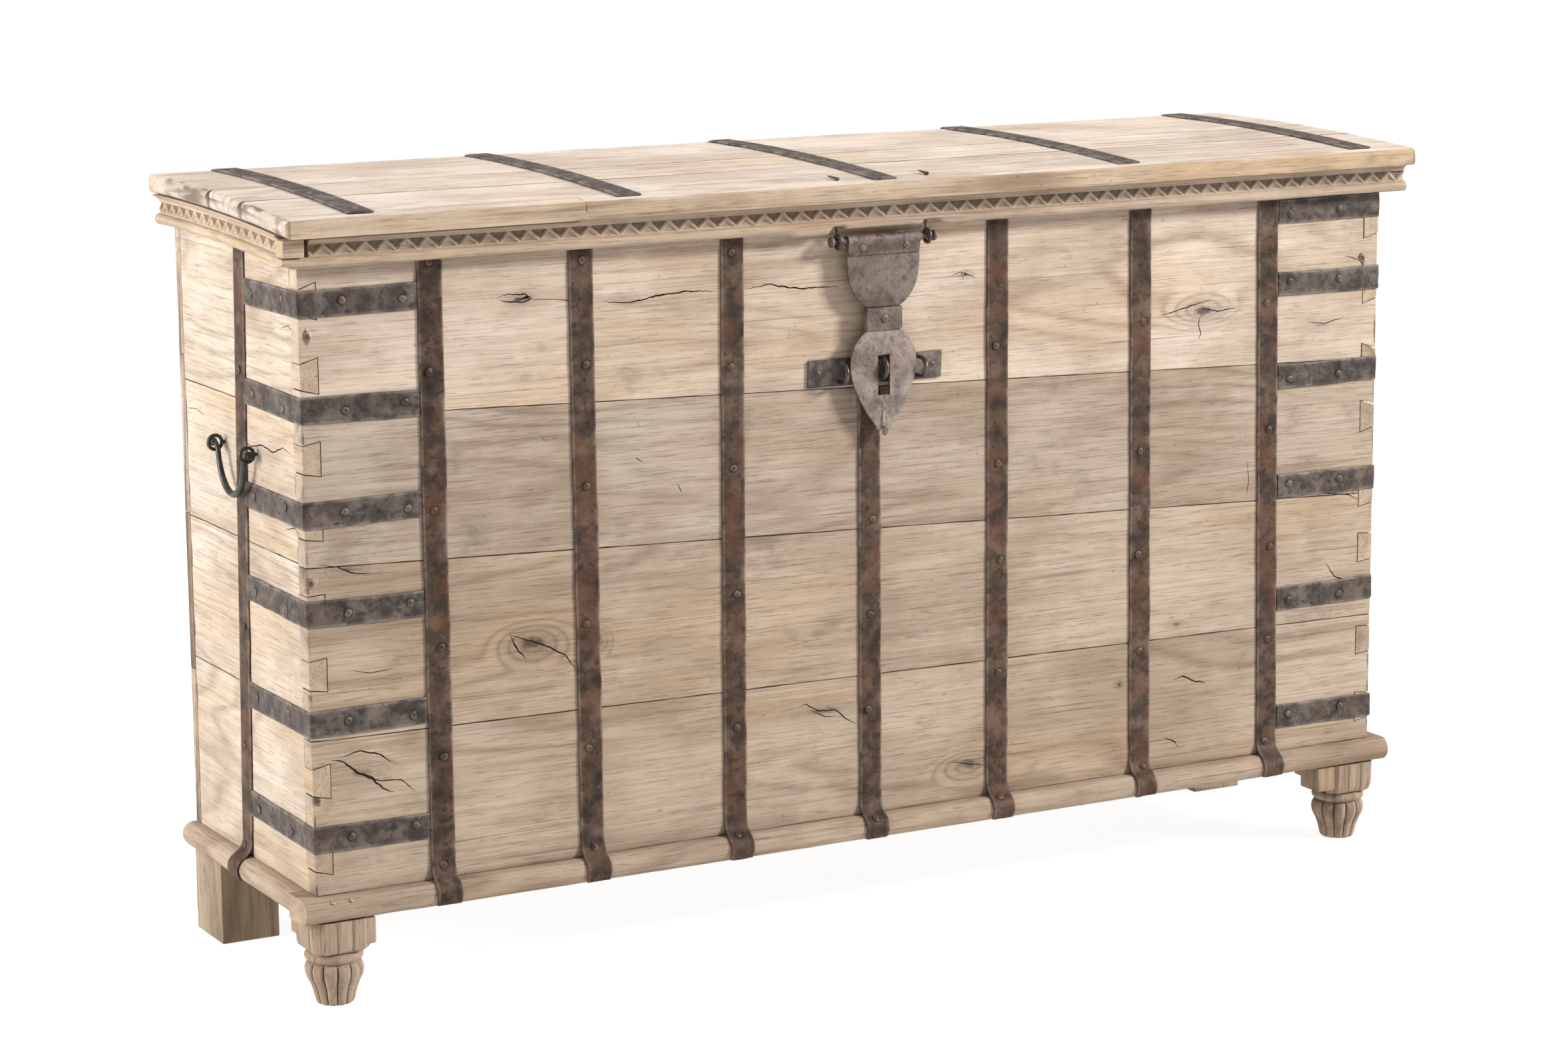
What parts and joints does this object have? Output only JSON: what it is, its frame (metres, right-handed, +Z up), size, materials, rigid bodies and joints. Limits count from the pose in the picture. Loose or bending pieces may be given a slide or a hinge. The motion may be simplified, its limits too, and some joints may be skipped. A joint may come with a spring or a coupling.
{
  "type": "iron-strapped wooden chest",
  "caption": "Long wooden storage chest on turned front legs, with a hinged cambered lid, carved frieze, iron straps, swinging hasp with padlock staple, and bail handles.",
  "frame": {"origin": "centre of the whole chest's footprint, on the surface it stands on", "axes": "+X along the chest's length to the right as seen from the front, +Y to the back, +Z up"},
  "size_m": [1.556, 0.4496, 0.9399],
  "materials": {
    "bleached_wood": "bleached, worn, open grain with knots and cracks",
    "pale_wood": "bleached, pale, worn",
    "strap_iron": "hammered, dark brown patina",
    "hasp_iron": "pitted, grey-brown patina",
    "handle_iron": "smooth, dark"
  },
  "bodies": {
    "chest": {"front_board_1": "bleached_wood", "front_board_2": "bleached_wood", "front_board_3": "bleached_wood", "front_board_4": "bleached_wood", "back_panel": "bleached_wood", "base_panel": "bleached_wood", "leg_front_left": "bleached_wood", "leg_front_right": "bleached_wood", "leg_rear_left": "bleached_wood", "leg_rear_right": "bleached_wood", "left_end_board_1": "pale_wood", "left_end_board_2": "pale_wood", "left_end_board_3": "pale_wood", "left_end_board_4": "pale_wood", "right_end_board_1": "pale_wood", "right_end_board_2": "pale_wood", "front_strap_1": "strap_iron", "front_strap_2": "strap_iron", "front_strap_3": "strap_iron", "front_strap_4": "strap_iron", "front_strap_5": "strap_iron", "front_strap_6": "strap_iron", "front_strap_7": "strap_iron", "left_end_strap": "strap_iron", "right_end_strap": "strap_iron", "left_corner_band_1": "strap_iron", "left_corner_band_2": "strap_iron", "left_corner_band_3": "strap_iron", "left_corner_band_4": "strap_iron", "left_corner_band_5": "strap_iron", "left_corner_band_6": "strap_iron", "right_corner_band_1": "strap_iron", "right_corner_band_2": "strap_iron", "right_corner_band_3": "strap_iron", "right_corner_band_4": "strap_iron", "right_corner_band_5": "strap_iron", "right_corner_band_6": "strap_iron", "back_hinge_strap_left": "strap_iron", "back_hinge_strap_right": "strap_iron", "staple_plate": "hasp_iron", "left_handle_eye_front": "handle_iron", "left_handle_eye_rear": "handle_iron", "right_handle_eye_front": "handle_iron", "right_handle_eye_rear": "handle_iron"},
    "lid": {"lid_board_rear": "bleached_wood", "lid_board_middle": "bleached_wood", "lid_board_front": "bleached_wood", "lid_frieze_front": "pale_wood", "lid_frieze_left": "pale_wood", "lid_frieze_right": "pale_wood", "lid_strap_1": "strap_iron", "lid_strap_2": "strap_iron", "lid_strap_3": "strap_iron", "lid_strap_4": "strap_iron", "lid_strap_5": "strap_iron", "hasp_eye_left": "hasp_iron", "hasp_eye_right": "hasp_iron"},
    "hasp": {"hasp": "hasp_iron"},
    "left_handle": {"left_handle": "handle_iron"},
    "right_handle": {"right_handle": "handle_iron"}
  },
  "joints": [
    {"name": "lid_hinge", "type": "hinge", "parent": "chest", "child": "lid", "pos_m": [0, 0.21885, 0.90721], "axis": [-1, 0, 0], "range_deg": [0, 100]},
    {"name": "hasp_swing", "type": "hinge", "parent": "lid", "child": "hasp", "pos_m": [-0.003, -0.19775, 0.851], "axis": [-1, 0, 0], "range_deg": [0, 120]},
    {"name": "left_handle_swing", "type": "hinge", "parent": "chest", "child": "left_handle", "pos_m": [-0.7625, 0.01175, 0.632], "axis": [0, 1, 0], "range_deg": [0, 170]},
    {"name": "right_handle_swing", "type": "hinge", "parent": "chest", "child": "right_handle", "pos_m": [0.7625, 0.01175, 0.693], "axis": [0, -1, 0], "range_deg": [0, 170]}
  ]
}
